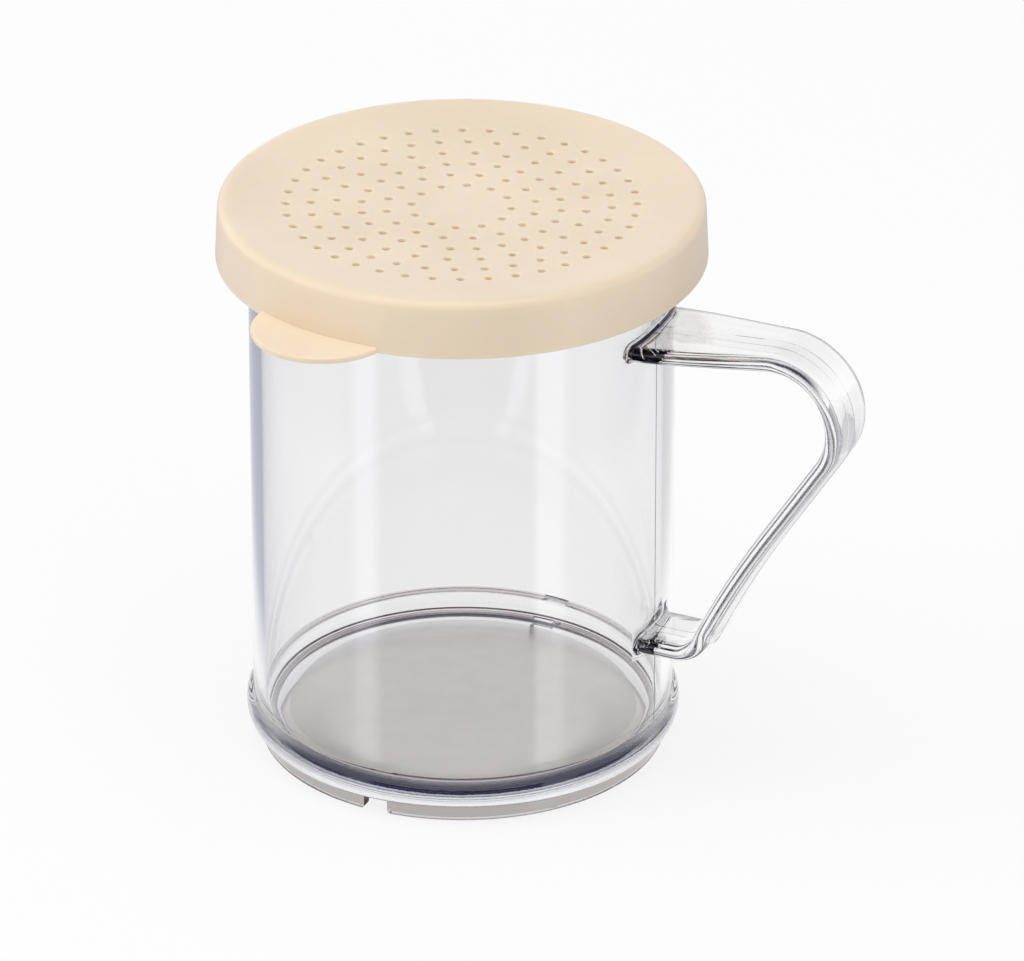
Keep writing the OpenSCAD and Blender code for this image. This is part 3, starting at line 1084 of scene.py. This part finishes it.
def make_floor_finish():
    """White to the camera, with some of the shaker's shadow, and painted tones where the plastic shows it.

    Straight through the plastic it is white with the foot's painted shade, and in gloss it carries the
    painted reflection of the studio.
    """
    finish = bpy.data.materials.new("studio_floor")
    tree, paths = start_tree(finish)
    from_camera = paths.outputs["Is Camera Ray"]
    place = tree.nodes.new("ShaderNodeTexCoord").outputs["Object"]
    # in gloss the floor shows painted reflections and painted shade of the studio
    studio = mix_colours(tree, paths.outputs["Glossy Depth"], WHITE, painted_studio_reflection(tree, place))
    contact, cover = painted_contact_shade(tree, place)
    # through the plastic the floor carries the foot's painted shade, and painted shade after many turns
    in_plastic = painted_bounce_shade(tree, paths, mix_colours(tree, cover, studio, contact))
    seen = mix_colours(tree, from_camera, in_plastic, WHITE)
    glow = add_node(tree, "ShaderNodeEmission", Color=seen, Strength=1.0)
    lit = add_node(tree, "ShaderNodeBsdfDiffuse", Color=FLOOR_COLOUR)
    camera_part = add_maths(tree, "MULTIPLY", from_camera, CAMERA_WHITE)
    share = add_maths(tree, "MAXIMUM", see_through(tree, paths), camera_part)
    out = tree.nodes.new("ShaderNodeOutputMaterial")
    tree.links.new(mix_shaders(tree, share, lit.outputs[0], glow.outputs[0]), out.inputs[0])
    return finish


def make_floor():
    """A plain floor, a hair below the foot."""
    bpy.ops.object.select_all(action="DESELECT")
    bpy.ops.mesh.primitive_plane_add(size=FLOOR_SIZE)
    floor = bpy.context.object
    floor.name = "studio_floor"
    start_editing(floor)
    bpy.ops.mesh.select_all(action="SELECT")
    bpy.ops.transform.translate(value=(0, 0, -FLOOR_DROP))
    stop_editing()
    floor.data.materials.append(make_floor_finish())


def add_background(tree, colour, strength=1.0):
    return add_node(tree, "ShaderNodeBackground", Color=colour, Strength=strength).outputs[0]


def make_world():
    """White to the camera, a darker ceiling in gloss and through the plastic, and soft light for the rest."""
    world = bpy.data.worlds.new("studio")
    bpy.context.scene.world = world
    tree, paths = start_tree(world)
    direction = tree.nodes.new("ShaderNodeTexCoord").outputs["Generated"]
    up = add_node(tree, "ShaderNodeSeparateXYZ", Vector=direction).outputs["Z"]
    ceiling = add_ramp(tree, up, CEILING_TONES)
    # through the plastic, the ceiling gets painted shade after many turns
    in_plastic = add_background(tree, painted_bounce_shade(tree, paths, ceiling.outputs["Color"]))
    soft = add_background(tree, WHITE, SOFT_LIGHT)
    unseen = mix_shaders(tree, see_through(tree, paths), soft, in_plastic)
    shown = mix_shaders(tree, paths.outputs["Is Camera Ray"], unseen, add_background(tree, WHITE))
    out = tree.nodes.new("ShaderNodeOutputWorld")
    tree.links.new(shown, out.inputs[0])


def add_softbox(name, place, width, height, watts, in_gloss=False):
    """A rectangular lamp turned to the shaker. Only gloss can show it, and only if in_gloss is set."""
    data = bpy.data.lights.new(name, "AREA")
    data.shape = "RECTANGLE"
    data.size = width
    data.size_y = height
    data.energy = watts
    lamp = bpy.data.objects.new(name, data)
    bpy.context.scene.collection.objects.link(lamp)
    lamp.location = place
    lamp.rotation_euler = (Vector(place) - Vector(LAMP_AIM)).to_track_quat("Z", "Y").to_euler()
    lamp.visible_camera = False
    lamp.visible_glossy = in_gloss
    lamp.visible_transmission = False


def add_camera():
    data = bpy.data.cameras.new("view")
    data.sensor_fit = "HORIZONTAL"
    data.sensor_width = SENSOR_WIDTH
    data.lens = FOCAL_PIXELS / PICTURE_WIDTH * SENSOR_WIDTH
    data.clip_start = VIEW_NEAREST
    data.clip_end = VIEW_FARTHEST
    camera = bpy.data.objects.new("view", data)
    bpy.context.scene.collection.objects.link(camera)
    ca, sa = math.cos(VIEW_AZIMUTH), math.sin(VIEW_AZIMUTH)
    ce, se = math.cos(VIEW_ELEVATION), math.sin(VIEW_ELEVATION)
    right = Vector((ca, sa, 0))
    up = Vector((-sa * se, ca * se, ce))
    back = Vector((sa * ce, -ca * ce, se))
    place = Vector((0, 0, VIEW_HEIGHT)) + VIEW_RIGHT * right + VIEW_UP * up + VIEW_DISTANCE * back
    turn = Matrix((right, up, back)).transposed().to_4x4()
    camera.matrix_world = Matrix.Translation(place) @ turn
    bpy.context.scene.camera = camera


# ---------------------------------------------------------------- the whole

mug = make_mug()
lid = make_lid()
dress(mug, lid)

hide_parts("mug")
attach(mug, "mug")
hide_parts("lid")
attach(lid, "lid")

make_floor()
make_world()
add_softbox("key", place=(-0.95, -0.45, 0.75), width=0.8, height=0.8, watts=5.6)
add_softbox("fill", place=(0.9, -0.5, 0.5), width=0.6, height=0.8, watts=1.8)
add_softbox("top", place=(0.12, -0.22, 1.14), width=0.9, height=0.6, watts=3.9, in_gloss=True)
add_camera()
bpy.context.scene.view_settings.view_transform = "Standard"
cycles = bpy.context.scene.cycles
cycles.max_bounces = BOUNCES
cycles.transmission_bounces = BOUNCES
cycles.glossy_bounces = BOUNCES
